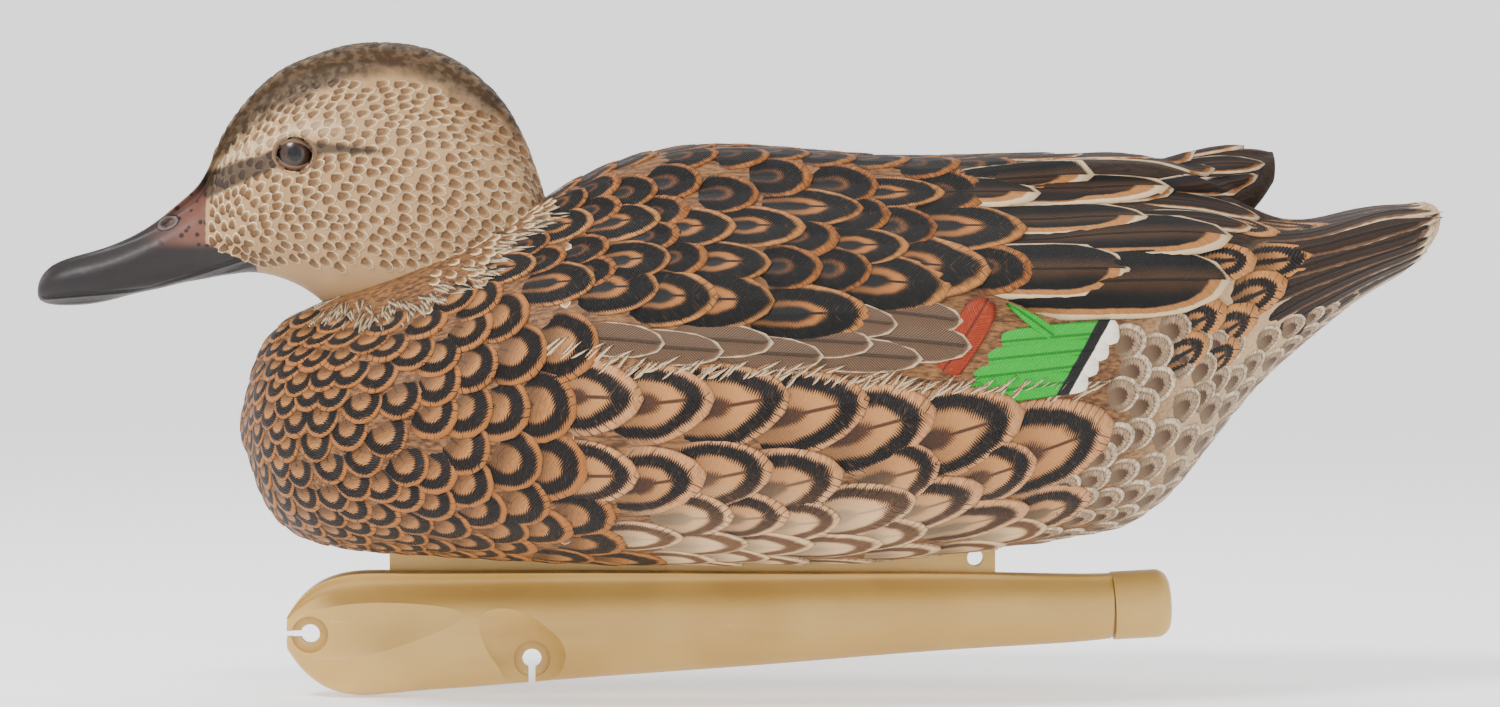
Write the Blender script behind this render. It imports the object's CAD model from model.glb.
"""Looks of the floating teal hen decoy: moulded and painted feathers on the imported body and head.

Sizes in the tables are in mm in the row frame: the bird faces -X, +Z is up, the left side is -Y.
"""

import math
from typing import NamedTuple

import bmesh
import bpy
import numpy as np
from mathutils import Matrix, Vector
from mathutils.bvhtree import BVHTree


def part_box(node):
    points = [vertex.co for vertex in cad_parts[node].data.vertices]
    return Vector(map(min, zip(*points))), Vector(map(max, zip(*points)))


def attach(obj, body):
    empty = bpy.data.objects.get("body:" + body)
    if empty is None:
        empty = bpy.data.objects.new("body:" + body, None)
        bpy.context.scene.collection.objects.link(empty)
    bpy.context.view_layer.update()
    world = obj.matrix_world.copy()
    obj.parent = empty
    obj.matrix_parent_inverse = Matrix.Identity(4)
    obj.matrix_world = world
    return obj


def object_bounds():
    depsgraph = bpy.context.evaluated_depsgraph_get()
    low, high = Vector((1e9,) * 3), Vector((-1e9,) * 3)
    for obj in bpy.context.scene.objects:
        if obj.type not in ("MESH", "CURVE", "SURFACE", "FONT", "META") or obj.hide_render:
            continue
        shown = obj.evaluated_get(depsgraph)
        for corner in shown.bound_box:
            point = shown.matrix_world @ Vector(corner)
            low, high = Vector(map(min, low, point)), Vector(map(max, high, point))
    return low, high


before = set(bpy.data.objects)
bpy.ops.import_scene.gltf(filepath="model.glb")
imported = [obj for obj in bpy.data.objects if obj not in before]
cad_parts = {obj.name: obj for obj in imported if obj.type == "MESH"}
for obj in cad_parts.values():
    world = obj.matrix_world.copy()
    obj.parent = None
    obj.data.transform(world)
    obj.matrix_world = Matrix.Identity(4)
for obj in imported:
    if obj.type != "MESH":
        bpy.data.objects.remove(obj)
cad_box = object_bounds()
MM = 0.001
SEED = 7
draw = np.random.default_rng(SEED)
decoy_body = "decoy"

body_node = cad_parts["body_shell"]
head_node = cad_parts["head_shell"]


# ---------------------------------------------------------------- node trees


def maths(operation):
    """A method that adds one Math node."""

    def method(self, *others):
        node = self.tree.nodes.new("ShaderNodeMath")
        node.operation = operation
        for place, value in enumerate((self, *others)):
            join(self.tree, node.inputs[place], value)
        return Sock(self.tree, node.outputs[0])

    return method


class Sock:
    """A node socket whose + - * / and ** add Math nodes to its tree."""

    def __init__(self, tree, socket):
        self.tree = tree
        self.socket = socket

    __add__ = __radd__ = maths("ADD")
    __mul__ = __rmul__ = maths("MULTIPLY")
    __sub__ = maths("SUBTRACT")
    __truediv__ = maths("DIVIDE")
    __pow__ = maths("POWER")
    __abs__ = maths("ABSOLUTE")
    least = maths("MINIMUM")
    most = maths("MAXIMUM")
    above = maths("GREATER_THAN")
    fraction = maths("FRACT")
    sine = maths("SINE")

    def __rsub__(self, other):
        return (self * -1.0) + other

    def ramp(self, low, high):
        """0 at low and 1 at high, eased. low may be the larger one."""
        node = self.tree.nodes.new("ShaderNodeMapRange")
        node.interpolation_type = "SMOOTHSTEP"
        flip = low > high
        join(self.tree, node.inputs["Value"], self)
        node.inputs["From Min"].default_value = min(low, high)
        node.inputs["From Max"].default_value = max(low, high)
        node.inputs["To Min"].default_value = 1.0 if flip else 0.0
        node.inputs["To Max"].default_value = 0.0 if flip else 1.0
        return Sock(self.tree, node.outputs["Result"])

    def comb(self):
        """A triangle wave, 0 to 1, with a period of 1."""
        return abs(self.fraction() - 0.5) * 2.0


def join(tree, target, value):
    """Links a socket to target, or sets its value."""
    if isinstance(value, Sock):
        tree.links.new(value.socket, target)
    elif value is not None:
        target.default_value = value


class Tree:
    """Adds nodes to a shader or geometry tree."""

    def __init__(self, tree):
        self.tree = tree

    def node(self, kind, settings=None, inputs=None, output=0):
        """One node: its settings first, then its sockets by name or number. Returns one output."""
        node = self.tree.nodes.new(kind)
        for name, value in (settings or {}).items():
            setattr(node, name, value)
        for name, value in (inputs or {}).items():
            join(self.tree, node.inputs[name], value)
        return Sock(self.tree, node.outputs[output]) if node.outputs else None

    def others(self, sock, name):
        """Another output of the node that sock comes from."""
        return Sock(self.tree, sock.socket.node.outputs[name])

    def split(self, vector):
        parts = self.node("ShaderNodeSeparateXYZ", None, {0: vector})
        return [self.others(parts, axis) for axis in "XYZ"]

    def vector(self, x, y, z):
        return self.node("ShaderNodeCombineXYZ", None, {0: x, 1: y, 2: z})

    def scaled(self, vector, share):
        return self.node("ShaderNodeVectorMath", {"operation": "SCALE"}, {0: vector, "Scale": share})

    def moved(self, vector, step):
        return self.node("ShaderNodeVectorMath", {"operation": "ADD"}, {0: vector, 1: step})


def srgb(red, green, blue):
    """A paint colour given in 0 to 255 screen values, as linear RGBA."""
    linear = [((c / 255 + 0.055) / 1.055) ** 2.4 if c > 10 else c / 255 / 12.92 for c in (red, green, blue)]
    return (*linear, 1.0)


# ---------------------------------------------------------------- meshes


def linked_object(name, data):
    obj = bpy.data.objects.new(name, data)
    bpy.context.scene.collection.objects.link(obj)
    return obj


def settled(obj):
    """Puts the object's evaluated mesh in the place of its mesh, and takes its modifiers off."""
    graph = bpy.context.evaluated_depsgraph_get()
    mesh = bpy.data.meshes.new_from_object(obj.evaluated_get(graph))
    obj.modifiers.clear()
    obj.data = mesh
    return obj


def point_values(mesh, label, values):
    """Gives a mesh one number or one vector at each point."""
    values = np.array(values, dtype=np.float32)
    kind, field = ("FLOAT", "value") if values.ndim == 1 else ("FLOAT_VECTOR", "vector")
    mesh.attributes.new(label, kind, "POINT").data.foreach_set(field, values.ravel())


def shade_smooth(mesh, four_sided_only=False):
    for face in mesh.polygons:
        face.use_smooth = not four_sided_only or len(face.vertices) == 4


def ring_face(ring, step, around):
    """The corners of one face between a ring of points and the next ring."""
    after = (step + 1) % around
    here, there = ring * around, (ring + 1) * around
    return (here + step, here + after, there + after, there + step)


# ---------------------------------------------------------------- outer skins for the feathers to lie on

LIFT_OFF = 0.4 * MM  # how far off a face the search for its way out starts
WELD = 0.01 * MM
OUTSIDE = 0.3  # m, further out than any part of the decoy
WAYS_OUT = ((0, -1, 0), (0, 1, 0), (0, 0, 1), (0, 0, -1), (-1, 0, 0))


def outer_skin(name, *nodes):
    """The nodes' outer faces only: those from which some straight way leads out."""
    joined = bmesh.new()
    for node in nodes:
        joined.from_mesh(node.data)
    mesh = bpy.data.meshes.new(name)
    joined.to_mesh(mesh)
    joined.free()
    skin = linked_object(name, mesh)
    group = bpy.data.node_groups.new("Outer faces", "GeometryNodeTree")
    group.interface.new_socket(name="Geometry", in_out="INPUT", socket_type="NodeSocketGeometry")
    group.interface.new_socket(name="Geometry", in_out="OUTPUT", socket_type="NodeSocketGeometry")
    g = Tree(group)
    source = g.node("NodeGroupInput")
    place = g.node("GeometryNodeInputPosition")
    normal = g.node("GeometryNodeInputNormal")
    start = g.moved(place, g.scaled(normal, LIFT_OFF))
    enclosed = None
    for way in WAYS_OUT:
        ray = {"Target Geometry": source, "Source Position": start, "Ray Direction": way, "Ray Length": 1.0}
        hit = g.node("GeometryNodeRaycast", None, ray)
        enclosed = hit if enclosed is None else enclosed * hit
    inner = {"Geometry": source, "Selection": enclosed}
    kept = g.node("GeometryNodeDeleteGeometry", {"domain": "FACE"}, inner)
    merged = g.node("GeometryNodeMergeByDistance", None, {"Geometry": kept, "Distance": WELD})
    g.node("NodeGroupOutput", None, {"Geometry": merged})
    modifier = skin.modifiers.new("Outer faces", "NODES")
    modifier.node_group = group
    return settled(skin)


body_skin = outer_skin("body_skin", body_node)
head_skin = outer_skin("head_skin", head_node)
whole_skin = outer_skin("whole_skin", body_node, head_node)


def ray_finder(skin):
    mesh = skin.data
    points = [v.co for v in mesh.vertices]
    mesh.calc_loop_triangles()
    return BVHTree.FromPolygons(points, [t.vertices for t in mesh.loop_triangles])


body_finder = ray_finder(body_skin)
head_finder = ray_finder(head_skin)
whole_finder = ray_finder(whole_skin)


def side_hit(finder, x, z, side=-1.0):
    """Where the surface is at (x, z) in mm seen from one side, and which way it faces."""
    return finder.ray_cast(Vector((x * MM, side * OUTSIDE, z * MM)), Vector((0, -side, 0)))[:2]


def top_hit(finder, x, y):
    """Where the surface is at (x, y) in mm seen from above, and which way it faces."""
    return finder.ray_cast(Vector((x * MM, y * MM, OUTSIDE)), Vector((0, 0, -1)))[:2]


def wrap_hit(finder, x, turn, axis_z):
    """The surface at x, looking in at the axis from turn degrees off straight up, on the left side."""
    way = Vector((0, -math.sin(math.radians(turn)), math.cos(math.radians(turn))))
    return finder.ray_cast(Vector((x * MM, 0, axis_z * MM)) + way * OUTSIDE, -way)[:2]


# ---------------------------------------------------------------- feathers by Geometry Nodes

RIM_DEPTH = 0.35 * MM  # how far a feather's rim reaches below the skin
MIDDLE = 0.6  # where along a feather the point that places it lies


def stored(g, geometry, name, value):
    settings = {"data_type": "FLOAT", "domain": "POINT"}
    inputs = {"Geometry": geometry, "Name": name, "Value": value}
    return g.node("GeometryNodeStoreNamedAttribute", settings, inputs)


def nearest_on(g, skin, value, place):
    """A value of the skin at its point nearest to place."""
    inputs = {"Mesh": skin, "Value": value, "Sample Position": place}
    return g.node("GeometryNodeSampleNearestSurface", {"data_type": "FLOAT_VECTOR"}, inputs)


def inverse(sock):
    return sock**-1.0


def named(g, name, data_type):
    return g.node("GeometryNodeInputNamedAttribute", {"data_type": data_type}, {"Name": name})


def feather_group():
    """Feathers on a surface: one shaped card at each point, laid on the skin and raised towards its tip."""
    group = bpy.data.node_groups.new("Feathers on a surface", "GeometryNodeTree")
    ui = group.interface
    ui.new_socket(name="Geometry", in_out="INPUT", socket_type="NodeSocketGeometry")
    ui.new_socket(name="Skin", in_out="INPUT", socket_type="NodeSocketObject")
    for name in ("Columns", "Rows"):
        ui.new_socket(name=name, in_out="INPUT", socket_type="NodeSocketInt")
    for name in ("Tip start", "Tip power", "Root width", "Sink", "Roll", "Crown"):
        ui.new_socket(name=name, in_out="INPUT", socket_type="NodeSocketFloat")
    ui.new_socket(name="Paint", in_out="INPUT", socket_type="NodeSocketMaterial")
    ui.new_socket(name="Geometry", in_out="OUTPUT", socket_type="NodeSocketGeometry")
    g = Tree(group)
    source = g.node("NodeGroupInput")
    columns = g.others(source, "Columns")
    rows = g.others(source, "Rows")
    tip_start = g.others(source, "Tip start")
    power = g.others(source, "Tip power")
    root_width = g.others(source, "Root width")

    # A unit card. Its outermost rows and columns are a rim that turns down into the skin
    wide = 4.0 * (columns**-1.0) + 2.0
    long = (rows + 1.0) / rows
    grid_size = {"Size X": wide, "Size Y": long, "Vertices X": columns + 3.0, "Vertices Y": rows + 2.0}
    grid = g.node("GeometryNodeMeshGrid", None, grid_size)
    raw_across, raw_along, _ = g.split(g.node("GeometryNodeInputPosition"))
    raw_along = raw_along + long / 2.0
    rim = abs(raw_across).above(1.001).most(raw_along.above(1.001))
    clamped = raw_across.most(-1.0).least(1.0)
    across = (clamped * (math.pi / 2)).sine()
    line = raw_along.least(1.0)
    side = abs(across)
    tip_line = tip_start + (1.0 - tip_start) * (1.0 - side**power).most(0.0) ** inverse(power)
    along = line * tip_line
    spread = root_width + (1.0 - root_width) * line.ramp(0.0, 0.55)
    across_at = across * spread
    card = stored(g, grid, "across", across)
    card = stored(g, card, "along", along)
    card = stored(g, card, "rim", rim)
    flat = g.vector(across_at, along - MIDDLE, 0.0)
    card = g.node("GeometryNodeSetPosition", None, {"Geometry": card, "Position": flat})

    # One card at each point, its back to the skin and its tip along the heading
    facing = named(g, "facing", "FLOAT_VECTOR")
    heading = named(g, "heading", "FLOAT_VECTOR")
    size = named(g, "size", "FLOAT_VECTOR")
    turn = g.node("FunctionNodeAlignRotationToVector", {"axis": "Z"}, {"Vector": facing})
    about_z = {"axis": "Y", "pivot_axis": "Z"}
    turn = g.node("FunctionNodeAlignRotationToVector", about_z, {"Rotation": turn, "Vector": heading})
    half_width, length, _ = g.split(size)
    scale = g.vector(half_width, length, 1.0)
    placed = {"Points": source, "Instance": card, "Rotation": turn, "Scale": scale}
    cards = g.node("GeometryNodeInstanceOnPoints", None, placed)
    cards = g.node("GeometryNodeRealizeInstances", None, {"Geometry": cards})

    # Lay the cards on the skin, then raise them
    skin_object = {"Object": g.others(source, "Skin")}
    skin = g.node("GeometryNodeObjectInfo", {"transform_space": "ORIGINAL"}, skin_object, "Geometry")
    here = g.node("GeometryNodeInputPosition")
    normal = g.node("GeometryNodeInputNormal")
    ground = nearest_on(g, skin, g.node("GeometryNodeInputPosition"), here)
    up = nearest_on(g, skin, normal, here)
    across = named(g, "across", "FLOAT")
    along = named(g, "along", "FLOAT")
    rim = named(g, "rim", "FLOAT")
    _, _, thickness = g.split(named(g, "size", "FLOAT_VECTOR"))
    side = abs(across)
    beyond = ((along - tip_start) / (1.0 - tip_start)).most(0.0)
    reach = (side**power + beyond**power) ** inverse(power)
    sink = g.others(source, "Sink")
    rise = thickness * (along**0.75) - sink * (1.0 - along)
    rise = rise - thickness * g.others(source, "Roll") * (reach.least(1.0) ** 5.0)
    rise = rise + thickness * g.others(source, "Crown") * side.ramp(0.14, 0.0) * along
    height = rise * (1.0 - rim) - rim * RIM_DEPTH
    target = g.moved(ground, g.scaled(up, height))
    cards = g.node("GeometryNodeSetPosition", None, {"Geometry": cards, "Position": target})
    cards = g.node("GeometryNodeSetShadeSmooth", None, {"Geometry": cards, "Shade Smooth": True})
    paint = g.others(source, "Paint")
    cards = g.node("GeometryNodeSetMaterial", None, {"Geometry": cards, "Material": paint})
    g.node("NodeGroupOutput", None, {"Geometry": cards})
    return group


feathers_tree = feather_group()


class Cut(NamedTuple):
    """How one tract's feathers are shaped."""

    columns: int = 6
    rows: int = 6
    tip_start: float = 0.45
    tip_power: float = 2.0
    root_width: float = 0.7
    sink: float = 0.25
    roll: float = 0.35
    crown: float = 0.0


class Plume(NamedTuple):
    """One feather: where it lies, which way the surface faces and its tip points, and its sizes in m."""

    place: Vector
    facing: Vector
    heading: Vector
    half_width: float
    length: float
    thickness: float


def mirrored(plume):
    """The same feather on the other side of the bird."""
    flipped = [Vector((v.x, -v.y, v.z)) for v in plume[:3]]
    return Plume(*flipped, *plume[3:])


def along_skin(way, normal):
    """The way (x, z) laid flat on a surface with that normal, as a unit vector."""
    flat = way - normal * way.dot(normal)
    return flat.normalized() if flat.length > 1e-4 else Vector((1, 0, 0))


def tract(name, plumes, cut, paint, skin=None, both_sides=True):
    """One piece made of many feathers on the skin."""
    everyone = list(plumes) + ([mirrored(p) for p in plumes] if both_sides else [])
    mesh = bpy.data.meshes.new(name)
    mesh.from_pydata([p.place for p in everyone], [], [])
    point_values(mesh, "facing", [p.facing for p in everyone])
    point_values(mesh, "heading", [p.heading for p in everyone])
    point_values(mesh, "size", [(p.half_width, p.length, p.thickness) for p in everyone])
    point_values(mesh, "pick", draw.random(len(everyone)))
    point_values(mesh, "lower_side", [1.0 if p.place.y < 0 else -1.0 for p in everyone])
    piece = linked_object(name, mesh)
    modifier = piece.modifiers.new("Feathers", "NODES")
    modifier.node_group = feathers_tree
    inputs = {item.name: item.identifier for item in feathers_tree.interface.items_tree}
    shape = {label.capitalize().replace("_", " "): value for label, value in cut._asdict().items()}
    shape["Sink"] *= MM
    for label, value in {"Skin": skin or body_skin, **shape, "Paint": paint}.items():
        modifier[inputs[label]] = value
    settled(piece)
    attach(piece, decoy_body)
    return piece


# ---------------------------------------------------------------- where feathers go


def between(x, stops):
    """A value at x, on straight lines between the stops (x, value)."""
    return float(np.interp(x, *zip(*stops)))


FAR_OFF = 9.0  # spacings, past which all of a pool's places count as equally far
CLOSEST = 0.98  # spacings


def even_spread(pool, start=()):
    """Picks plumes from the pool that lie evenly: each about one spacing or more from the others.

    The pool's items are (plume, spacing along, spacing across). Start is plumes already there.
    """
    places = np.array([p.place for p, _, _ in pool])
    ways = np.array([p.heading for p, _, _ in pool])
    gaps_along = np.array([a for _, a, _ in pool]) * MM
    gaps_across = np.array([c for _, _, c in pool]) * MM
    nearest = np.full(len(pool), FAR_OFF)

    def spread_from(point):
        for side in (1.0, -1.0):
            offset = places - np.array((point.x, point.y * side, point.z))
            ahead = np.abs(np.einsum("ij,ij->i", offset, ways))
            total = np.einsum("ij,ij->i", offset, offset)
            aside = np.sqrt(np.maximum(total - ahead**2, 0.0))
            np.minimum(nearest, np.sqrt((ahead / gaps_along) ** 2 + (aside / gaps_across) ** 2), out=nearest)

    for plume in start:
        spread_from(plume.place)
    chosen = []
    while True:
        index = int(np.argmax(nearest))
        if nearest[index] < CLOSEST:
            return chosen
        chosen.append(pool[index][0])
        spread_from(pool[index][0].place)


def flow(x, z):
    """Which way the body's feathers point, as degrees above the tailward way, by place."""
    front = ((-120, -92), (-104, -84), (-88, -70), (-72, -50), (-56, -30), (-40, -12))
    return between(x, (*front, (-20, 4), (5, 12), (95, 17), (150, 25)))


def way(angle):
    return Vector((math.cos(math.radians(angle)), 0, math.sin(math.radians(angle))))


def plume_on(hit, heading, length, width, thickness):
    """A feather where a ray met the surface, with its sizes in mm."""
    place, normal = hit
    if place is None:
        raise ValueError("a feather has no surface to lie on")
    return Plume(place, normal, along_skin(heading, normal), width / 2 * MM, length * MM, thickness * MM)


def side_plume(tip_x, tip_z, angle, length, width, thickness=1.0, finder=body_finder):
    """A feather given by its tip as seen from the side, in mm."""
    heading = way(angle)
    back = heading * length * (1.0 - MIDDLE)
    return plume_on(side_hit(finder, tip_x - back.x, tip_z - back.z), heading, length, width, thickness)


def top_plume(tip_x, tip_y, turn, length, width, thickness=1.0):
    """A feather given by its tip as seen from above, in mm. turn is degrees from tailwards to the left."""
    heading = Vector((math.cos(math.radians(turn)), -math.sin(math.radians(turn)), 0))
    back = heading * length * (1.0 - MIDDLE)
    hit = top_hit(body_finder, tip_x - back.x, tip_y - back.y)
    return plume_on(hit, heading, length, width, thickness)


def body_axis(x):
    """Height of a line inside the torso at x."""
    return between(x, ((-120, 16), (-60, 22), (60, 30), (100, 38), (130, 52), (180, 68)))


# The hem where the neck's small feathers end on the breast and the shoulders
hem_line = (
    (-100.5, 43.5), (-92.5, 41.8), (-83.0, 42.4), (-72.5, 45.0),
    (-64.0, 49.5), (-54.0, 56.7), (-46.0, 64.0), (-40.0, 70.0),
)


def above_hem(x, z):
    """How far (x, z) is above the neck's hem, in mm. Positive on the neck."""
    if x > hem_line[-1][0]:
        return -1.0
    return z - between(x, hem_line)


def wing_edge(x):
    """Height of the lower edge of the folded wing and its scapulars, above the flank."""
    front = ((-66, 52), (-50, 45), (-36, 38), (-20, 33.5), (10, 33))
    return between(x, (*front, (40, 30), (90, 27), (100, 29), (126, 45)))


def rump_edge(x):
    """Front limit of the rump's scales, as height: below and behind it the scales start."""
    return between(x, ((70, -12), (84, 0), (97, 14), (100, 30)))


# ---------------------------------------------------------------- paints

PAINT_ROUGH = 0.6
FEATHER_DEPTH = 1.3
HEAD_DEPTH = 1.15


class Paint(NamedTuple):
    """One feather pattern, from the rim inwards. Radii are shares of the feather, 0 at its middle line."""

    rim: tuple
    band: tuple
    inner: tuple
    mark: tuple
    band_out: float = 0.84
    band_in: float = 0.52
    mark_out: float = 0.2
    tip_start: float = 0.45
    tip_power: float = 2.0
    barbs: float = 0.75
    slope: float = 1.0
    wobble: float = 0.10
    quill: float = 0.0
    wash: float = 0.55
    pale: tuple = ()
    pale_low: float = 8.0
    pale_high: float = -16.0
    pale_share: float = 0.75
    nicks: float = 0.6
    bump: float = 0.5


def shader(name):
    material = bpy.data.materials.new(name)
    material.use_nodes = True
    material.node_tree.nodes.clear()
    return material, Tree(material.node_tree)


def mix(s, share, first, second):
    """A colour between two, by share."""
    node = s.tree.nodes.new("ShaderNodeMix")
    node.data_type = "RGBA"
    join(s.tree, node.inputs[0], share)
    join(s.tree, node.inputs[6], first)
    join(s.tree, node.inputs[7], second)
    return Sock(s.tree, node.outputs[2])


def darker(color, share):
    return (*(c * share for c in color[:3]), 1.0)


def finish_shader(s, color, rough, relief=None, relief_size=0.15, coat=0.0, shine=0.3, depth=None):
    """The principled shader, with a bump from relief. A depth over 1 deepens the colour."""
    if depth:
        color = s.node("ShaderNodeGamma", None, {"Color": color, "Gamma": depth})
    inputs = {"Base Color": color, "Roughness": rough, "Specular IOR Level": shine}
    if coat:
        inputs["Coat Weight"] = coat
        inputs["Coat Roughness"] = 0.15
    if relief is not None:
        bump = {"Strength": 1.0, "Distance": relief_size * MM, "Height": relief}
        inputs["Normal"] = s.node("ShaderNodeBump", None, bump)
    out = s.node("ShaderNodeBsdfPrincipled", None, inputs)
    s.node("ShaderNodeOutputMaterial", None, {"Surface": out})


def object_place(s):
    return s.node("ShaderNodeTexCoord", None, None, "Object")


def place_mm(s):
    """Object coordinates as three sockets in mm."""
    return [part * 1000.0 for part in s.split(object_place(s))]


def noise(s, scale, detail=2.0, rough=0.5, vector=None):
    """Noise by object place. Scale is in waves per m."""
    inputs = {"Vector": vector or object_place(s), "Scale": scale, "Detail": detail, "Roughness": rough}
    return s.node("ShaderNodeTexNoise", None, inputs)


def attribute(s, name, output="Fac"):
    return s.node("ShaderNodeAttribute", {"attribute_name": name}, None, output)


class Card:
    """What every feather shader reads from its card, as sockets."""

    def __init__(self, s, tip_start, tip_power, barbs, slope):
        half_width, length, _ = s.split(attribute(s, "size", "Vector"))
        self.across = attribute(s, "across")
        self.along = attribute(s, "along")
        self.pick = attribute(s, "pick")
        self.half = half_width * 1000.0
        self.length = length * 1000.0
        self.side = abs(self.across)
        beyond = ((self.along - tip_start) / (1.0 - tip_start)).most(0.0)
        self.reach = ((self.side + 0.001) ** tip_power + beyond**tip_power) ** (1.0 / tip_power)
        self.grit = noise(s, 420.0, 3.0)
        # Barbs run out and back from the quill
        slanted = self.along * self.length - self.side * self.half * slope
        self.barb_line = slanted / barbs + (self.grit - 0.5) * 0.7
        self.comb = self.barb_line.comb()
        hair = s.vector(self.side * 4.0, self.barb_line * 1.2, self.pick * 40.0)
        self.streak = noise(s, 1.0, 2.0, 0.6, hair)


def feather_paint(name, p):
    """A painted feather: rim, dark band, inner field and centre mark, combed by its barbs."""
    material, s = shader(name)
    card = Card(s, p.tip_start, p.tip_power, p.barbs, p.slope)
    wander = (noise(s, 90.0, 2.0) - 0.5) * p.wobble * 2.2
    ragged = card.reach + wander + (card.comb - 0.5) * 0.09 + (card.grit - 0.5) * 0.10
    shifted = ragged + (card.pick - 0.5) * 0.10
    outside = shifted.ramp(p.band_in - 0.04, p.band_in + 0.04)
    band = outside * shifted.ramp(p.band_out + 0.03, p.band_out - 0.03)
    mark = ragged.ramp(p.mark_out + 0.05, p.mark_out - 0.05)
    if p.quill:
        quill = (card.side * card.half).ramp(p.quill * 1.6, p.quill * 0.6) * card.reach.ramp(0.95, 0.8)
        mark = mark.most(quill)
    color = mix(s, card.streak.ramp(0.35, 0.7) * 0.6, p.inner, darker(p.rim, 0.75))
    color = mix(s, mark, color, p.mark)
    rim_color = mix(s, card.streak.ramp(0.35, 0.65) * 0.6, p.rim, darker(p.inner, 0.7))
    color = mix(s, outside, color, rim_color)
    band_color = mix(s, card.comb.ramp(0.15, 0.85) * 0.8, p.band, darker(p.band, 0.15))
    band_color = mix(s, card.streak.ramp(0.55, 0.8) * 0.3, band_color, p.rim)
    if p.pale:
        _, _, up = place_mm(s)
        low = (up + (card.pick - 0.5) * 8.0).ramp(p.pale_low, p.pale_high) * p.pale_share
        color = mix(s, low, color, p.pale)
        band_color = mix(s, low * 0.45, band_color, p.rim)
    # Nicks: short splits in the rim, painted dark
    nick_line = (card.along * card.length - card.side * card.half * 1.25) / 3.1 + card.pick * 7.0
    nick = nick_line.comb().ramp(0.86, 0.96) * card.reach.ramp(0.6, 0.8)
    nick = nick * noise(s, 150.0, 1.0).ramp(0.45, 0.6) * p.nicks
    color = mix(s, band, color, band_color)
    color = mix(s, nick, color, darker(p.band, 0.6))
    # Dark wash in the hollow where the feather comes out from under the one ahead
    hollow = card.along.ramp(0.7, 0.25) * p.wash + card.reach.ramp(0.95, 1.01) * 0.6
    color = mix(s, hollow.least(0.9), color, darker(p.band, 0.5))
    relief = card.comb * (0.3 + band * 0.7) * p.bump + card.grit * 0.3 - nick * 0.9
    finish_shader(s, color, PAINT_ROUGH, relief, 0.45, depth=FEATHER_DEPTH)
    return material


def long_feather_paint(name, vane, lower_rim, upper_rim, tip_start, tip_power, width, line=0.55, bump=0.6):
    """A long feather: a dark vane with slanting barbs, a pale lower rim and a thin upper one."""
    material, s = shader(name)
    card = Card(s, tip_start, tip_power, 0.75, 1.1)
    below = (card.across * attribute(s, "lower_side")).above(0.0)
    edge = (1.0 - card.reach) * card.half + (card.grit - 0.5) * 0.5
    lower = edge.ramp(width + 0.25, width - 0.25) * below
    light = edge.ramp(width * 0.45 + 0.2, width * 0.45 - 0.1) * below
    upper = edge.ramp(line + 0.2, line - 0.2)
    middle = (noise(s, 60.0, 2.0) - 0.5) * 0.3 + card.side
    color = mix(s, card.comb.ramp(0.2, 0.8) * 0.75, vane, darker(vane, 0.2))
    color = mix(s, middle.ramp(0.5, 0.05) * 0.35, color, darker(lower_rim, 0.5))
    quill = (card.side * card.half).ramp(0.5, 0.2) * card.reach.ramp(0.97, 0.85)
    color = mix(s, quill * 0.7, color, darker(vane, 0.25))
    color = mix(s, upper, color, upper_rim)
    rim_color = mix(s, card.streak.ramp(0.35, 0.7) * 0.45, lower_rim, darker(lower_rim, 0.5))
    rim_color = mix(s, light, rim_color, upper_rim)
    color = mix(s, lower.most(light), color, rim_color)
    hollow = card.along.ramp(0.4, 0.1) * 0.5 + card.reach.ramp(0.97, 1.01) * 0.5
    color = mix(s, hollow.least(0.9), color, darker(vane, 0.4))
    relief = card.comb * bump + card.grit * 0.3 + quill
    finish_shader(s, color, PAINT_ROUGH, relief, 0.4, depth=FEATHER_DEPTH)
    return material


def speculum_paint(name, field, barred=True):
    """A wing patch feather: one bright field, and slanting across its end a black bar and a white one."""
    material, s = shader(name)
    card = Card(s, 0.5, 3.0, 0.8, 0.9)
    color = mix(s, card.comb.ramp(0.3, 0.9) * 0.35, field, darker(field, 0.4))
    color = mix(s, card.streak.ramp(0.5, 0.75) * 0.35, color, mixed(field, CREAM, 0.25))
    quill = (card.side * card.half).ramp(0.45, 0.15)
    color = mix(s, quill * 0.6, color, darker(field, 0.25))
    color = mix(s, card.reach.ramp(0.86, 0.97) * 0.55, color, darker(field, 0.3))
    if barred:
        x, _, z = place_mm(s)
        line = x - z * BAR_SLANT + (card.grit - 0.5) * 0.6
        color = mix(s, line.ramp(BAR_START - 0.2, BAR_START + 0.2), color, BLACKISH)
        color = mix(s, line.ramp(BAR_START + BLACK_BAR - 0.2, BAR_START + BLACK_BAR + 0.2), color, WHITE)
    finish_shader(s, color, 0.5, card.comb * 0.4 + card.grit * 0.3 - quill * 0.5, 0.3, depth=FEATHER_DEPTH)
    return material


def mixed(first, second, share):
    return (*(a + (b - a) * share for a, b in zip(first[:3], second[:3])), 1.0)


DARK = srgb(38, 26, 19)
BLACKISH = srgb(18, 14, 13)
TAN = srgb(178, 122, 66)
BUFF = srgb(196, 145, 92)
PINK = srgb(208, 160, 118)
CREAM = srgb(232, 208, 172)
WHITE = srgb(244, 236, 222)
PALE = srgb(222, 202, 174)
BROWN = srgb(96, 64, 40)
UMBER = srgb(74, 55, 44)
GREY_BROWN = srgb(138, 112, 90)
DULL_TAN = srgb(150, 124, 96)
DULL_BUFF = srgb(128, 100, 76)
GREEN = srgb(20, 178, 52)
ORANGE = srgb(160, 66, 20)

# The bars at the end of the green patch: how they slant, where the black one starts and how wide it is, in mm
BAR_SLANT = 0.59
BAR_START = 63.9
BLACK_BAR = 3.0

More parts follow.
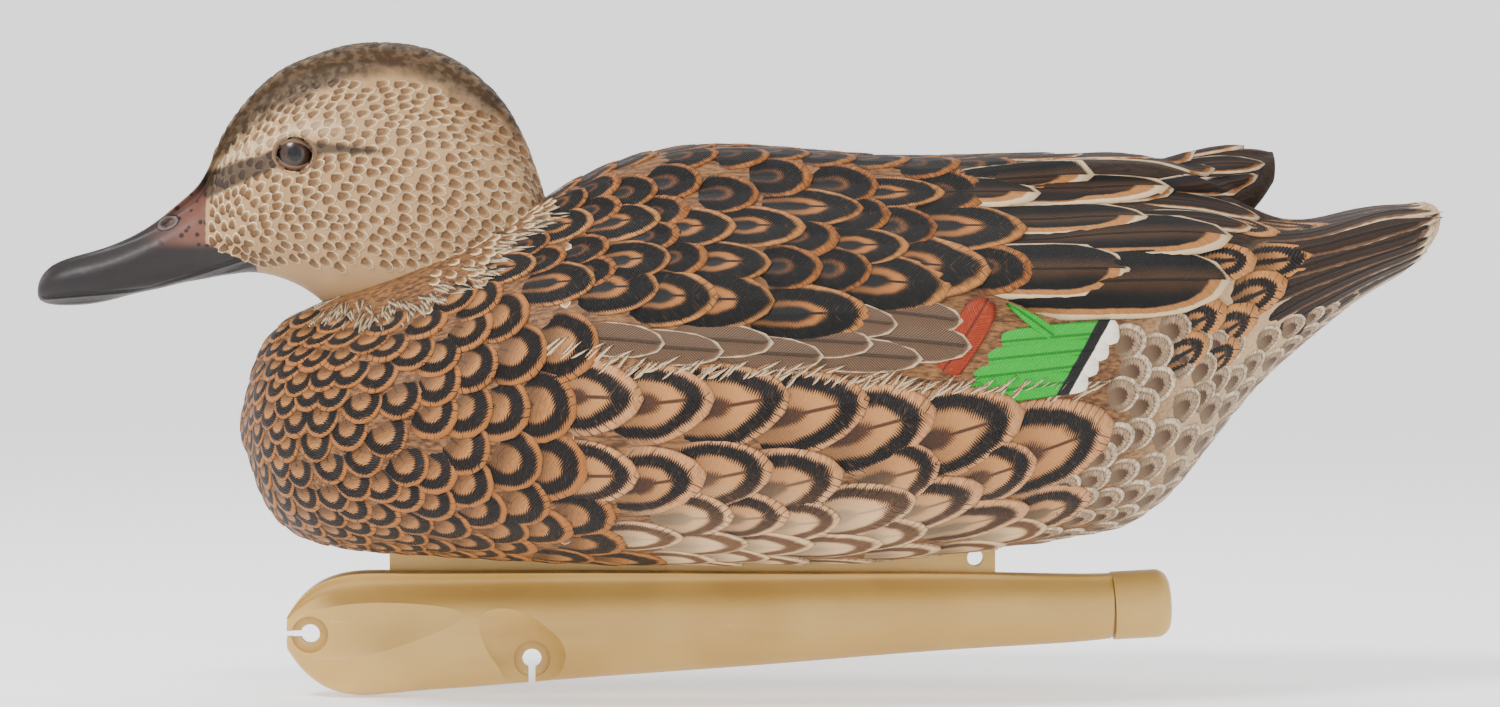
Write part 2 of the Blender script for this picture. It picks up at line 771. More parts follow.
breast_paint = feather_paint(
    "breast feather paint",
    Paint(TAN, DARK, BUFF, DARK, 0.82, 0.44, 0.0, 0.35, 2.0, 0.6, 0.3, wash=0.7, nicks=0.8),
)
flank_paint = feather_paint(
    "flank feather paint",
    Paint(
        PINK, DARK, BUFF, BROWN, 0.85, 0.56, 0.24, 0.40, 1.7, 0.7, 0.6,
        quill=0.4, pale=CREAM, nicks=0.9, wash=0.5,
    ),
)
scapular_paint = feather_paint(
    "scapular feather paint",
    Paint(BUFF, BLACKISH, TAN, BLACKISH, 0.86, 0.40, 0.22, 0.45, 1.8, 0.7, 0.8, quill=0.3, wash=0.6),
)
mantle_paint = feather_paint(
    "mantle feather paint",
    Paint(TAN, BLACKISH, BROWN, BLACKISH, 0.82, 0.34, 0.2, 0.4, 1.9, 0.6, 0.6, wash=0.6),
)
covert_paint = long_feather_paint("wing covert paint", GREY_BROWN, GREY_BROWN, PALE, 0.5, 2.0, 0.6, 0.3, 0.4)
fringe_paint = long_feather_paint("flank fringe paint", PINK, CREAM, PALE, 0.3, 1.6, 1.0, 0.2, 0.3)
hem_paint = long_feather_paint("neck hem paint", DULL_TAN, CREAM, PALE, 0.3, 1.6, 0.5, 0.25, 0.6)
tertial_paint = long_feather_paint("tertial feather paint", BLACKISH, BUFF, CREAM, 0.62, 1.9, 2.6)
wing_tip_paint = long_feather_paint("wing tip feather paint", DARK, TAN, PALE, 0.7, 2.0, 0.9, 0.3)
tail_paint = long_feather_paint("tail feather paint", UMBER, DULL_BUFF, PALE, 0.8, 2.2, 1.3, 0.6, 0.4)
tail_covert_paint = feather_paint(
    "tail covert paint",
    Paint(BUFF, DARK, BUFF, DARK, 0.72, 0.42, 0.16, 0.4, 1.8, 1.1, 0.8, quill=0.5, wash=0.6, nicks=1.0),
)
rump_paint = feather_paint(
    "rump scale paint",
    Paint(
        srgb(226, 210, 186), srgb(176, 150, 120), DULL_TAN, srgb(84, 56, 36), 0.80, 0.70, 0.44,
        0.4, 2.0, 0.8, 0.4, wash=0.9, nicks=0.4,
    ),
)
green_paint = speculum_paint("green wing patch paint", GREEN)
sliver_paint = speculum_paint("green sliver paint", GREEN, barred=False)
orange_paint = speculum_paint("orange bar paint", ORANGE, barred=False)


def skin_paint(name, base, dark):
    """Paint of the shell between the feathers: streaked, like small feathers' shafts."""
    material, s = shader(name)
    x, y, z = place_mm(s)
    streak = noise(s, 0.8, 3.0, 0.6, s.vector(x * 0.35, y * 1.6, z * 1.6))
    fine = noise(s, 700.0, 2.0)
    color = mix(s, streak.ramp(0.3, 0.7), base, dark)
    wing = x.ramp(48.0, 66.0) * x.ramp(143.0, 139.0) * (z - x * 0.12).ramp(38.0, 46.0)
    color = mix(s, wing * 0.85, color, DARK)
    under = x.ramp(92.0, 120.0) * (x * 0.44 - z).ramp(-6.0, 4.0)
    color = mix(s, under * 0.5, color, CREAM)
    finish_shader(s, color, PAINT_ROUGH, streak * 0.8 + fine * 0.3, 0.5, depth=FEATHER_DEPTH)
    return material


def bent_line(x, stops, rising=False):
    """A socket on straight lines between the stops, bending ever down or, if rising, ever up."""
    line = None
    for (x0, y0), (x1, y1) in zip(stops, stops[1:]):
        part = (x - x0) * ((y1 - y0) / (x1 - x0)) + y0
        if line is not None:
            part = line.most(part) if rising else line.least(part)
        line = part
    return line


# Lines on the head as seen from the side, as stops (x, z) in mm
GAPE_LINE = ((-170, 48.4), (-143, 50.6), (-118.5, 58.4))
CROWN_LINE = (
    (-129, 78.5), (-121.8, 86.8), (-108.3, 96.3), (-92.3, 103.0), (-80, 105.0), (-67, 99.5), (-54, 91.5),
)
STRIPE_LINE = ((-128, 76.5), (-103, 85.5), (-83, 84.5))


def head_color(s, x, z, base):
    """Paint over the head's own colour: dark crown, eye stripe and the pale line over it."""
    grit = (noise(s, 260.0, 3.0) - 0.5) * 6.0
    crown = (z - bent_line(x, CROWN_LINE) + grit).ramp(-2.5, 2.5)
    stripe_at = bent_line(x, STRIPE_LINE)
    half = bent_line(x, ((-128, 3.4), (-108, 2.0), (-84, 0.4))).least(3.4)
    off = abs(z - stripe_at + grit * 0.15)
    stripe = (off - half).ramp(0.8, -0.6) * x.ramp(-80.0, -88.0)
    brow = abs(z - stripe_at - 5.0 + grit * 0.3).ramp(2.6, 0.6) * x.ramp(-88.0, -100.0)
    color = mix(s, brow * 0.3, base, CREAM)
    color = mix(s, stripe * 0.85, color, srgb(46, 36, 30))
    back = x.ramp(-70.0, -45.0) * z.ramp(74.0, 92.0) * 0.55
    color = mix(s, back, color, BROWN)
    cap = mix(s, noise(s, 500.0).ramp(0.4, 0.65), srgb(36, 28, 23), srgb(92, 76, 60))
    return mix(s, crown * 0.88, color, cap)


def head_paint():
    """Small pitted cells with pale ridges, darker over the crown and through the eye."""
    material, s = shader("head feather paint")
    x, _, z = place_mm(s)
    card = Card(s, 0.45, 2.0, 0.5, 0.4)
    ragged = card.reach + (card.grit - 0.5) * 0.25
    base = mix(s, card.pick, srgb(186, 150, 106), srgb(160, 124, 84))
    base = mix(s, noise(s, 45.0).ramp(0.35, 0.7) * 0.35, base, srgb(150, 118, 84))
    low = (z + x * 0.35).ramp(26.0, 14.0) * 0.55
    base = mix(s, low, base, srgb(112, 84, 60))
    pit = ragged.ramp(0.7, 0.35)
    base = mix(s, pit * 0.75, base, srgb(104, 74, 44))
    ridge = ragged.ramp(0.7, 0.84)
    base = mix(s, ridge * 0.85, base, srgb(230, 208, 174))
    base = mix(s, card.along.ramp(0.6, 0.25) * 0.85, base, srgb(76, 52, 32))
    color = head_color(s, x, z, base)
    relief = ridge * 0.9 - pit * 0.9 + card.grit * 0.3
    finish_shader(s, color, PAINT_ROUGH, relief, 0.5, depth=HEAD_DEPTH)
    return material


# The bill's edge on the face, as x in mm: upright down to the gape, and from there slanting back
EDGE_X = -128.5
EDGE_BEND_Z = 62.0
EDGE_SLANT = 2.2
EDGE_LAST_X = -116.0


def bill_and_face_paint():
    """The head shell itself: the bill, and the ground between the head's feathers."""
    material, s = shader("bill and face paint")
    x, y, z = place_mm(s)
    fine = noise(s, 900.0, 2.0)
    soft = noise(s, 60.0, 2.0)
    flush = x.ramp(-146.0, -132.0) * z.ramp(79.0, 72.0) * z.ramp(60.0, 63.0)
    bill = mix(s, soft.ramp(0.3, 0.7) * 0.5, srgb(26, 22, 23), srgb(40, 33, 33))
    bill = mix(s, flush * (0.35 + soft * 0.7), bill, srgb(112, 72, 60))
    cells = {"Vector": object_place(s), "Scale": 380.0, "Randomness": 0.9}
    spots = s.node("ShaderNodeTexVoronoi", None, cells)
    spot = spots.ramp(0.34, 0.2) * flush.ramp(0.1, 0.4)
    bill = mix(s, spot * 0.9, bill, BLACKISH)
    gape = z - bent_line(x, GAPE_LINE, rising=True)
    groove = abs(gape).ramp(0.7, 0.2).most(abs(gape + 2.0).ramp(0.6, 0.15) * 0.8)
    groove = groove * abs(y).ramp(3.0, 6.0)
    bill = mix(s, groove * 0.85, bill, srgb(6, 5, 5))
    bill = mix(s, abs(gape + 1.0).ramp(0.5, 0.1) * 0.3, bill, srgb(120, 108, 104))
    face = head_color(s, x, z, mix(s, soft, srgb(150, 116, 78), srgb(176, 142, 100)))
    edge = (EDGE_BEND_Z - z).most(0.0) * EDGE_SLANT + EDGE_X
    on_bill = (edge.least(EDGE_LAST_X) - x + (fine - 0.5) * 0.6).ramp(-0.3, 0.3)
    color = mix(s, on_bill, face, bill)
    rough = on_bill * (fine * 0.15 - 0.2) + PAINT_ROUGH
    finish_shader(s, color, rough, fine * 0.1 + soft * 0.15 - groove * on_bill, 0.6)
    return material


def keel_paint():
    """Tan moulded plastic: a fine moulded grain, faint flow marks and a few scuffs."""
    material, s = shader("tan keel plastic")
    x, y, z = place_mm(s)
    fine = noise(s, 1400.0, 2.0)
    flow_marks = noise(s, 0.05, 3.0, 0.5, s.vector(x * 0.5, y, z * 3.0))
    soft = noise(s, 30.0, 2.0)
    color = mix(s, soft.ramp(0.3, 0.7), srgb(186, 148, 78), srgb(198, 162, 92))
    color = mix(s, flow_marks.ramp(0.5, 0.75) * 0.25, color, srgb(166, 128, 62))
    scuff = noise(s, 0.12, 4.0, 0.7, s.vector(x * 0.4, y, z * 2.6)).ramp(0.66, 0.74)
    color = mix(s, scuff * 0.35, color, srgb(216, 190, 138))
    cells = {"Vector": object_place(s), "Scale": 60.0, "Randomness": 1.0}
    speck = s.node("ShaderNodeTexVoronoi", None, cells).ramp(0.05, 0.03)
    color = mix(s, speck * 0.5, color, srgb(92, 78, 62))
    rough = fine * 0.12 + scuff * 0.15 + 0.38
    finish_shader(s, color, rough, fine * 0.25 + flow_marks * 0.6, 0.12, shine=0.45)
    return material


PUPIL = 1.75  # mm, radius
IRIS = 3.2


def eye_paint(name, centre):
    """A glossy brown iris round a black pupil, about the eye's own axis."""
    material, s = shader(name)
    x, _, z = place_mm(s)
    off = ((x - centre.x / MM) ** 2.0 + (z - centre.z / MM) ** 2.0) ** 0.5
    rays = noise(s, 900.0, 2.0)
    iris = mix(s, rays, srgb(30, 20, 16), srgb(62, 42, 32))
    pupil = (off + (rays - 0.5) * 0.2).ramp(PUPIL + 0.15, PUPIL - 0.15)
    color = mix(s, pupil, iris, srgb(4, 4, 5))
    color = mix(s, off.ramp(IRIS, IRIS + 0.7), color, srgb(10, 7, 6))
    finish_shader(s, color, 0.25, None, coat=0.2, shine=0.3)
    return material


def plain_paint(name, color, rough):
    """A rubber or filler finish with a fine grain."""
    material, s = shader(name)
    fine = noise(s, 800.0, 2.0)
    finish_shader(s, mix(s, fine * 0.5, color, darker(color, 0.6)), fine * 0.1 + rough, fine, 0.1)
    return material


def paint_node(name, material):
    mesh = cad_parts[name].data
    mesh.materials.clear()
    mesh.materials.append(material)


paint_node("body_shell", skin_paint("body ground paint", srgb(158, 118, 78), srgb(92, 66, 44)))
paint_node("head_shell", bill_and_face_paint())
keel_plastic = keel_paint()
for node in ("keel_shell", "keel_cap"):
    paint_node(node, keel_plastic)
for node in ("left_eye", "right_eye"):
    low, high = (Vector(c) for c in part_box(node))
    paint_node(node, eye_paint(node.replace("_", " ") + " gloss", (low + high) / 2))
seal_rubber = plain_paint("seal rubber", srgb(34, 31, 29), 0.7)
for node in ("neck_gasket", "vent_plug", "keel_stopper"):
    paint_node(node, seal_rubber)
paint_node("ballast_sand", plain_paint("packed sand", srgb(186, 160, 118), 0.9))
paint_node("ballast_spacer", plain_paint("spacer foam", srgb(226, 224, 216), 0.8))

# ---------------------------------------------------------------- body feathers


def side_plumes(*rows):
    return [side_plume(*row) for row in rows]


# Rows are: tip x, tip z, angle above the tailward way, length, width and, where it isn't 1, thickness
scapulars = side_plumes(
    (63.5, 55.0, -6, 36, 21),
    (53.5, 51.5, -4, 34, 19),
    (33.5, 45.5, 2, 34, 17),
    (10.5, 48.0, -2, 30, 17),
    (-3.0, 48.5, -4, 26, 17),
    (-17.0, 50.0, -8, 24, 16),
    (-32.0, 50.0, -16, 22, 15),
    (-46.0, 53.0, -24, 18, 12),
    (73.5, 67.0, 4, 36, 18),
    (33.5, 71.0, 2, 29, 14),
    (19.0, 66.0, 0, 27, 15),
    (2.0, 65.5, -2, 25, 15),
    (-16.0, 66.0, -8, 22, 14),
    (54.0, 75.0, 4, 29, 11),
    (44.0, 62.0, 4, 27, 14),
    (-32.0, 64.0, -18, 19, 13),
    (-14.0, 57.0, -6, 22, 14),
    (10.0, 57.0, -2, 26, 14),
)
flank_rows = side_plumes(
    (95.0, 17.0, 14, 42, 29),
    (71.5, 21.0, 14, 40, 25),
    (49.5, 22.0, 14, 37, 24),
    (33.0, 25.0, 12, 34, 22),
    (14.0, 26.0, 10, 32, 22),
    (-4.0, 25.5, 6, 30, 21),
    (-21.0, 25.0, -2, 27, 20),
    (74.0, -2.0, 16, 32, 19),
    (62.0, 3.0, 18, 34, 21),
    (45.0, 1.5, 18, 34, 22),
    (27.0, 8.0, 16, 31, 22),
    (10.0, 9.5, 14, 30, 21),
    (-6.0, 7.5, 12, 28, 21),
    (-22.0, 7.0, 2, 25, 19),
    (38.0, -9.0, 16, 29, 19),
    (21.0, -9.0, 14, 27, 18),
    (5.0, -9.0, 12, 25, 18),
    (-11.0, -8.0, 8, 23, 17),
)
tertials = side_plumes(
    (98.0, 57.5, 6, 48, 17, 1.1),
    (125.5, 55.5, 6, 66, 19, 1.6),
    (125.5, 69.0, 12, 60, 15, 1.6),
    (111.0, 79.5, 12, 52, 11, 1.4),
    (92.0, 80.5, 8, 46, 10, 1.2),
    (104.0, 71.0, 10, 46, 12, 1.2),
    (78.0, 76.0, 6, 40, 10, 1.1),
)
wing_tips = side_plumes(
    (138.0, 82.5, 4, 42, 7, 0.9),
    (137.5, 79.0, 8, 44, 7, 0.9),
    (135.0, 75.0, 11, 42, 7, 0.9),
    (131.5, 71.5, 14, 38, 7, 0.9),
)
wing_coverts = side_plumes(
    (56.0, 43.5, -6, 32, 10, 0.8),
    (40.0, 42.5, -6, 30, 10, 0.8),
    (58.0, 37.5, -4, 34, 11, 0.9),
    (46.0, 34.5, -3, 34, 9, 0.8),
    (34.0, 38.0, -3, 32, 9, 0.8),
    (22.0, 35.0, -3, 32, 9, 0.8),
    (10.0, 38.0, -4, 30, 9, 0.8),
    (-2.0, 36.0, -5, 28, 9, 0.8),
    (-16.0, 37.5, -8, 24, 9, 0.8),
)
green_patch = side_plumes(*((87.2 + 2.6 * step, 29.0 + 4.0 * step, 6, 38 - step, 6.2) for step in range(4)))
green_sliver = side_plumes((66.5, 47.4, 147, 21, 4.0, 1.5))
orange_bar = side_plumes((62.5, 49.0, 57, 25, 8.5))
tail_feathers = side_plumes(
    *(
        (178.4 - 0.4 * step, 70.6 - 2.3 * step, 11.5 + 2.0 * step, 58 - 1.5 * step, 6.2, 2.0 - 0.2 * step)
        for step in range(8)
    )
)
# Rows here are: tip x, tip y, turn to the left, length, width and thickness
back_feathers = [
    top_plume(*row)
    for row in (
        (84.0, -5.0, 2, 40, 13, 1.1),
        (90.0, -15.0, -1, 42, 12, 1.1),
        (94.0, -24.0, -6, 42, 11, 1.1),
        (104.0, -4.0, 1, 42, 11, 1.2),
        (108.0, -13.0, -4, 42, 11, 1.2),
        (112.0, -20.0, -12, 40, 9, 1.2),
        (121.0, -4.0, 1, 40, 9, 1.2),
        (124.0, -11.0, -8, 40, 9, 1.2),
        (133.0, -3.5, 0, 36, 7, 1.2),
    )
]
tail_top = [top_plume(178.5 - abs(step) * 0.5, 5.6 * step, -1.5 * step, 44, 7, 0.8) for step in range(-3, 4)]
tail_coverts = side_plumes(
    (152.0, 66.0, 4, 21, 10),
    (147.0, 59.5, 12, 21, 11),
    (140.0, 52.5, 18, 20, 12),
    (133.0, 45.0, 22, 20, 12),
    (139.0, 66.0, 2, 18, 9),
    (132.0, 59.0, 10, 19, 11),
    (124.0, 46.0, 18, 19, 12),
    (119.0, 38.0, 20, 16, 11),
    (128.0, 37.0, 24, 16, 10),
)


def scatter(x_range, turn_range, count, keep, flow_at, spacing, stretch=1.9, widen=1.3):
    """Evenly spread feathers on the left of the body, where keep(x, z, turn) holds.

    spacing(x, z, turn) gives the gap along the flow, the gap across it and the thickness, in mm.
    """
    pool = []
    for x, turn in zip(draw.uniform(*x_range, count), draw.uniform(*turn_range, count)):
        place, normal = wrap_hit(body_finder, x, turn, body_axis(x))
        if place is None or place.y > 0.3 * MM or not keep(place.x / MM, place.z / MM, turn):
            continue
        x_mm, z_mm = place.x / MM, place.z / MM
        gap_along, gap_across, thickness = spacing(x_mm, z_mm, turn)
        heading = along_skin(way(flow_at(x_mm, z_mm)), normal)
        sizes = (gap_across * widen / 2 * MM, gap_along * stretch * MM, thickness * MM)
        pool.append((Plume(place, normal, heading, *sizes), gap_along, gap_across * 0.84))
    return pool


def on_breast(x, z, turn):
    return x < -22 and z < wing_edge(x) - 1 and turn < 176 and above_hem(x, z) < 0


def breast_spacing(x, z, turn):
    across = between(x, ((-120, 7.5), (-95, 8.5), (-75, 10.0), (-55, 13.0), (-35, 16.0), (-20, 18.0)))
    share = between(x, ((-120, 0.6), (-60, 0.56), (-20, 0.66)))
    return across * share, across, between(x, ((-120, 0.7), (-60, 0.9), (0, 1.1)))


def on_flank(x, z, turn):
    return -24 < x < 88 and z < wing_edge(x) - 4 and turn < 172 and (x < 62 or z > rump_edge(x))


def flank_spacing(x, z, turn):
    across = between(z, ((-20, 14.0), (0, 16.0), (30, 18.0)))
    return across * 0.8, across, 1.0


def on_mantle(x, z, turn):
    return x > -62 and z > max(wing_edge(x) + 2, 55) and turn < 80 and above_hem(x, z) < 0


def mantle_spacing(x, z, turn):
    across = between(x, ((-62, 6.5), (-40, 8.5), (-10, 10.5), (50, 13.0)))
    return across * 0.85, across, 0.9


def mantle_flow(x, z):
    return between(x, ((-62, -30), (-40, -8), (-15, 0), (40, 4)))


def on_rump(x, z, turn):
    return 78 < x < 158 and z < rump_top(x) and turn < 180 and (x > 96 or z < rump_edge(x) + 4)


def rump_top(x):
    return between(x, ((78, -4), (88, 14), (94, 28), (98, 39), (108, 42), (118, 38), (130, 36), (160, 50)))


def rump_spacing(x, z, turn):
    across = between(x, ((78, 7.0), (110, 8.0), (150, 6.0)))
    return across * 0.74, across, 0.8


# Each pool's ranges are of x in mm and of degrees off straight up, and then comes its number of tries
breast = even_spread(scatter((-121, -20), (0, 178), 12000, on_breast, flow, breast_spacing), flank_rows)
flank_pool = scatter((-30, 92), (20, 174), 6000, on_flank, flow, flank_spacing)
flank_fill = even_spread(flank_pool, flank_rows + breast)
mantle = even_spread(scatter((-64, 66), (0, 84), 5000, on_mantle, mantle_flow, mantle_spacing), scapulars)
rump = even_spread(scatter((76, 160), (40, 180), 6000, on_rump, flow, rump_spacing))

# Hair-like feathers that stand up from the flank over the wing's lower edge
fringe_start = -40
fringe_gap = 1.4
fringe = []
for step in range(96):
    x = fringe_start + step * fringe_gap + draw.uniform(-0.5, 0.5)
    z = wing_edge(x) + 0.5 + draw.uniform(-1.6, 1.6)
    angle = 34 + draw.uniform(-16, 16)
    fringe.append(side_plume(x, z, angle, draw.uniform(7, 11), draw.uniform(1.3, 2.3), 1.1))

long_cut = Cut(columns=6, rows=14, tip_start=0.62, tip_power=1.9, root_width=0.75, roll=0.3, crown=0.15)
round_cut = Cut(tip_start=0.35, root_width=0.75)
flank_cut = Cut(columns=8, rows=8, tip_start=0.40, tip_power=1.7)
tract("rump_scales", rump, Cut(tip_start=0.4, root_width=0.8, roll=0.5), rump_paint)
tract("breast_feathers", breast, round_cut, breast_paint)
tract("flank_fill_feathers", flank_fill, flank_cut, flank_paint)
tract("flank_feathers", flank_rows, flank_cut, flank_paint)
tract("wing_coverts", wing_coverts, long_cut._replace(tip_start=0.5, tip_power=2.0), covert_paint)
tract("green_wing_patch", green_patch, Cut(6, 14, 0.93, 3.0, 0.9, roll=0.2), green_paint)
tract("green_sliver", green_sliver, Cut(4, 8, 0.2, 1.6, 0.9, roll=0.1), sliver_paint)
tract("orange_wing_bar", orange_bar, Cut(6, 8, 0.6, 3.0, 0.9, roll=0.1), orange_paint)
tract("flank_fringe", fringe, Cut(2, 5, 0.3, 1.6, 0.6, roll=0.2), fringe_paint)
tract("mantle_feathers", mantle, Cut(tip_start=0.4, tip_power=1.9), mantle_paint)
tract("back_feathers", back_feathers, long_cut, wing_tip_paint)
tract("tertial_feathers", tertials, long_cut, tertial_paint)
tract("scapular_feathers", scapulars, Cut(columns=8, rows=8, tip_power=1.8), scapular_paint)
tract("wing_tip_feathers", wing_tips, long_cut._replace(tip_start=0.7, tip_power=2.0), wing_tip_paint)
tract("tail_feathers", tail_feathers, long_cut._replace(tip_start=0.8, tip_power=2.2, columns=4), tail_paint)
tail_top_cut = long_cut._replace(tip_start=0.8, tip_power=2.2)
tract("tail_top_feathers", tail_top, tail_top_cut, tail_paint, both_sides=False)
tract("tail_coverts", tail_coverts, Cut(tip_start=0.4, tip_power=1.8), tail_covert_paint)

# ---------------------------------------------------------------- head feathers


def head_flow(x, z):
    """Degrees above the tailward way: up and over the brow, back along the cheek, and down the neck."""
    fan = math.degrees(math.atan2(z - 61.3, x + 118.7))
    back = between(x, ((-118, 14), (-95, 14), (-75, 26), (-57, 42)))
    return 0.75 * fan - back - between(z, ((50, 22), (62, 0)))


def head_axis(x):
    """Height of a line inside the head and neck at x."""
    return between(x, ((-129, 68), (-110, 74), (-40, 70)))


SCALE_TRIES = 11000
HEM_LAP = 1.0  # mm that the scales reach below the hem's line
BILL_GAP = 1.6  # mm from the bill's edge to the first scales


def head_scales():
    pool = []
    for x, turn in zip(draw.uniform(-129, -39, SCALE_TRIES), draw.uniform(0, 180, SCALE_TRIES)):
        place, normal = wrap_hit(whole_finder, x, turn, head_axis(x))
        if place is None or place.y > 0.2 * MM or above_hem(place.x / MM, place.z / MM) < -HEM_LAP:
            continue
        x_mm, z_mm = place.x / MM, place.z / MM
        off_eye = math.hypot((x_mm - eye_middle.x) / lid_reach[0], (z_mm - eye_middle.z) / lid_reach[1])
        edge = EDGE_X + max(EDGE_BEND_Z - z_mm, 0.0) * EDGE_SLANT
        if x_mm < min(edge, EDGE_LAST_X) + BILL_GAP or (off_eye < 1.0 and place.y < -8 * MM):
            continue
        across = between(x_mm, ((-125, 1.9), (-100, 2.2), (-50, 2.5)))
        heading = along_skin(way(head_flow(x_mm, z_mm)), normal)
        gap_along = across * 1.35
        sizes = (across * 1.3 / 2 * MM, gap_along * 1.75 * MM, 0.55 * MM)
        pool.append((Plume(place, normal, heading, *sizes), gap_along, across * 0.84))
    return even_spread(pool)


eye_low, eye_high = (Vector(c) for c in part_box("left_eye"))
eye_middle = (eye_low + eye_high) / 2 / MM
lid_reach = (5.6, 4.2)
face_paint = head_paint()
tract(
    "head_feathers",
    head_scales(),
    Cut(4, 4, 0.45, 2.0, 0.7, sink=0.3, roll=0.5),
    face_paint,
    skin=whole_skin,
)

# ---------------------------------------------------------------- eyelids, nostrils and the neck's hem


RIM_POINTS = 56


class Rim(NamedTuple):
    """An oval rim on a surface, as seen from the side: its middle, its sizes and its profile, all in mm."""

    middle_x: float
    middle_z: float
    outer: tuple  # half length and half height of the outside
    inner: tuple  # and of the opening
    tilt: float  # degrees, tailward end up
    point: float  # how far the opening's ends are drawn out, 0 for an oval
    heights: tuple  # above the surface, from the opening to the outside


def oval_rims(name, rim, finders, paint, floor_height=None):
    """A raised rim on each side of the head, with its opening left open or closed by a sunk floor."""
    around = RIM_POINTS
    rings = len(rim.heights)
    points, faces, shares = [], [], []
    turn = math.radians(rim.tilt)

    def outward(x, z):
        hits = [side_hit(finder, x, z)[0] for finder in finders]
        return min(hit.y for hit in hits if hit is not None)

    def place(angle, share):
        along, up = math.cos(angle), math.sin(angle)
        lid = abs(up) ** (1.0 + rim.point) * math.copysign(1.0, up)
        near = (rim.inner[0] * along, rim.inner[1] * lid)
        far = (rim.outer[0] * along, rim.outer[1] * up)
        flat = [n + (f - n) * share for n, f in zip(near, far)]
        return (
            rim.middle_x + flat[0] * math.cos(turn) - flat[1] * math.sin(turn),
            rim.middle_z + flat[0] * math.sin(turn) + flat[1] * math.cos(turn),
        )

    for ring, height in enumerate(rim.heights):
        for step in range(around):
            x, z = place(2 * math.pi * step / around, ring / (rings - 1))
            points.append((x * MM, outward(x, z) - height * MM, z * MM))
            shares.append(ring / (rings - 1))
    for ring in range(rings - 1):
        faces.extend(ring_face(ring, step, around) for step in range(around))
    if floor_height is not None:
        floor_y = outward(rim.middle_x, rim.middle_z) - floor_height * MM
        points.append((rim.middle_x * MM, floor_y, rim.middle_z * MM))
        shares.append(0.0)
        faces.extend(((step + 1) % around, step, len(points) - 1) for step in range(around))
    count = len(points)
    points += [(x, -y, z) for x, y, z in points]
    faces += [tuple(count + corner for corner in reversed(face)) for face in faces]
    mesh = bpy.data.meshes.new(name)
    mesh.from_pydata(points, [], faces)
    point_values(mesh, "share", shares * 2)
    shade_smooth(mesh)
    piece = linked_object(name, mesh)
    mesh.materials.append(paint)
    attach(piece, decoy_body)
    return piece


def rim_paint(name, inside, crest, outside, rough):
    """Paint of a rim, from its opening over its crest to its outside."""
    material, s = shader(name)
    share = attribute(s, "share")
    grit = noise(s, 700.0, 3.0)
    worn = share + (grit - 0.5) * 0.3
    color = mix(s, worn.ramp(0.02, 0.14), inside, crest)
    color = mix(s, worn.ramp(0.5, 0.8), color, outside)
    finish_shader(s, color, rough, grit, 0.25)
    return material


oval_rims(
    "eyelids",
    Rim(
        eye_middle.x, eye_middle.z, (6.1, 5.2), (4.2, 2.5), -6.0, 0.3,
        (-0.5, 0.15, 0.5, 0.35, 0.45, 0.1, -0.4),
    ),
    (head_finder, ray_finder(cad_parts["left_eye"])),
    rim_paint("eyelid paint", srgb(14, 10, 8), srgb(96, 72, 52), srgb(116, 90, 64), PAINT_ROUGH),
)
oval_rims(
    "nostrils",
    Rim(-138.2, 67.0, (3.4, 2.0), (1.5, 0.75), 24.0, 0.0, (-0.25, 0.25, 0.6, 0.45, 0.1, -0.3)),
    (head_finder,),
    rim_paint("nostril paint", srgb(4, 3, 3), srgb(92, 82, 80), srgb(34, 28, 28), 0.4),
    floor_height=0.1,
)

# Narrow pale feathers round the foot of the neck, over the joint between head and body
hem_gap = 0.7
hem_angles = ((-101, -88), (-90, -78), (-72, -60), (-60, -44), (-43, -24))
hem = []
for before, after in zip(hem_line, hem_line[1:]):
    reach = math.dist(before, after)
    for step in range(round(reach / hem_gap)):
        share = step * hem_gap / reach
        x = before[0] + (after[0] - before[0]) * share
        z = before[1] + (after[1] - before[1]) * share
        slip = draw.uniform(-1.0, 4.0)
        heading = between(x, hem_angles) + draw.uniform(-12, 12)
        point = way(heading) * slip
        length, width = draw.uniform(6, 10), draw.uniform(1.3, 2.2)
        hem.append(side_plume(x + point.x, z + point.z, heading, length, width, 0.8, whole_finder))
tract("neck_hem", hem, Cut(2, 5, 0.3, 1.6, 0.6, roll=0.2), hem_paint, skin=whole_skin)

# ---------------------------------------------------------------- stage

view_middle = Vector((7.5 * MM, 0.0, 34.1 * MM))
view_distance = 1.15
view_width = 0.3785
view_turn = math.radians(-3.0)
view_rise = math.radians(1.5)

floor_radius = 1.6
bend_radius = 1.4
wall_height = 2.2
floor_level = cad_box[0][2] - 0.5 * MM
floor_glow = 0.6
sky_strength = 0.5
stage_points = 64
bend_steps = 12

for skin in (body_skin, head_skin, whole_skin):
    bpy.data.objects.remove(skin)


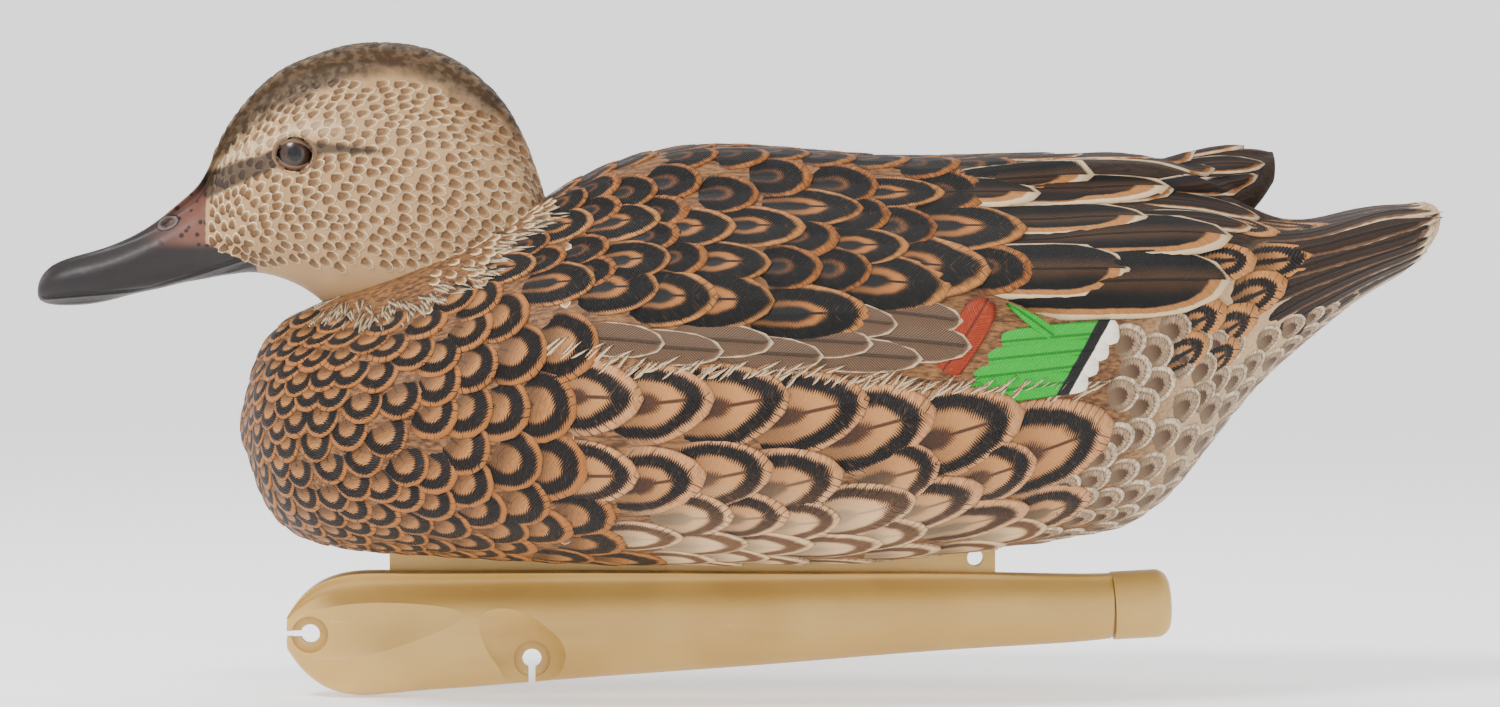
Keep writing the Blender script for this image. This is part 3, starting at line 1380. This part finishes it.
def backdrop():
    """A floor that bends up into a wall all round, so that no horizon shows."""
    profile = [(floor_radius, 0.0)]
    for step in range(1, bend_steps + 1):
        turn = math.pi / 2 * step / bend_steps
        profile.append((floor_radius + bend_radius * math.sin(turn), bend_radius * (1.0 - math.cos(turn))))
    profile.append((floor_radius + bend_radius, wall_height))
    turns = [2 * math.pi * step / stage_points for step in range(stage_points)]
    points = [(r * math.cos(turn), r * math.sin(turn), z) for r, z in profile for turn in turns]
    faces = [tuple(range(stage_points))]
    for ring in range(len(profile) - 1):
        faces.extend(ring_face(ring, step, stage_points)[::-1] for step in range(stage_points))
    mesh = bpy.data.meshes.new("backdrop")
    mesh.from_pydata(points, [], faces)
    shade_smooth(mesh, four_sided_only=True)
    stage = linked_object("backdrop", mesh)
    stage.location.z = floor_level
    material, s = shader("pale backdrop")
    white = (1.0, 1.0, 1.0, 1.0)
    floor_look = {"Base Color": srgb(244, 244, 244), "Roughness": 0.8, "Specular IOR Level": 0.1}
    floor_light = {"Emission Color": white, "Emission Strength": floor_glow}
    out = s.node("ShaderNodeBsdfPrincipled", None, {**floor_look, **floor_light})
    s.node("ShaderNodeOutputMaterial", None, {"Surface": out})
    mesh.materials.append(material)


backdrop()

world = bpy.data.worlds.new("studio")
bpy.context.scene.world = world
world.use_nodes = True
sky = world.node_tree.nodes["Background"]
sky.inputs["Color"].default_value = (1.0, 1.0, 1.0, 1.0)
sky.inputs["Strength"].default_value = sky_strength


def softbox(name, place, width, height, power):
    """A rectangular lamp that faces the decoy. Sizes are in m and the power is in W."""
    lamp = bpy.data.lights.new(name, "AREA")
    lamp.shape = "RECTANGLE"
    lamp.size, lamp.size_y = width, height
    lamp.energy = power
    obj = linked_object(name, lamp)
    obj.location = place
    obj.rotation_euler = (view_middle - Vector(place)).to_track_quat("-Z", "Y").to_euler()


softbox("key", (-0.55, -0.55, 1.0), 0.35, 0.35, 18)
softbox("fill", (0.8, -0.9, 0.3), 0.6, 0.6, 2)
softbox("top", (0.1, 0.3, 1.0), 0.8, 0.5, 5)

lens = bpy.data.cameras.new("camera")
lens.sensor_width = 36.0
lens.lens = lens.sensor_width * view_distance / view_width
camera = linked_object("camera", lens)
outwards = Vector((math.sin(view_turn), -math.cos(view_turn), 0)) * math.cos(view_rise)
outwards.z = math.sin(view_rise)
camera.location = view_middle + view_distance * outwards
camera.rotation_euler = (view_middle - camera.location).to_track_quat("-Z", "Y").to_euler()
bpy.context.scene.camera = camera
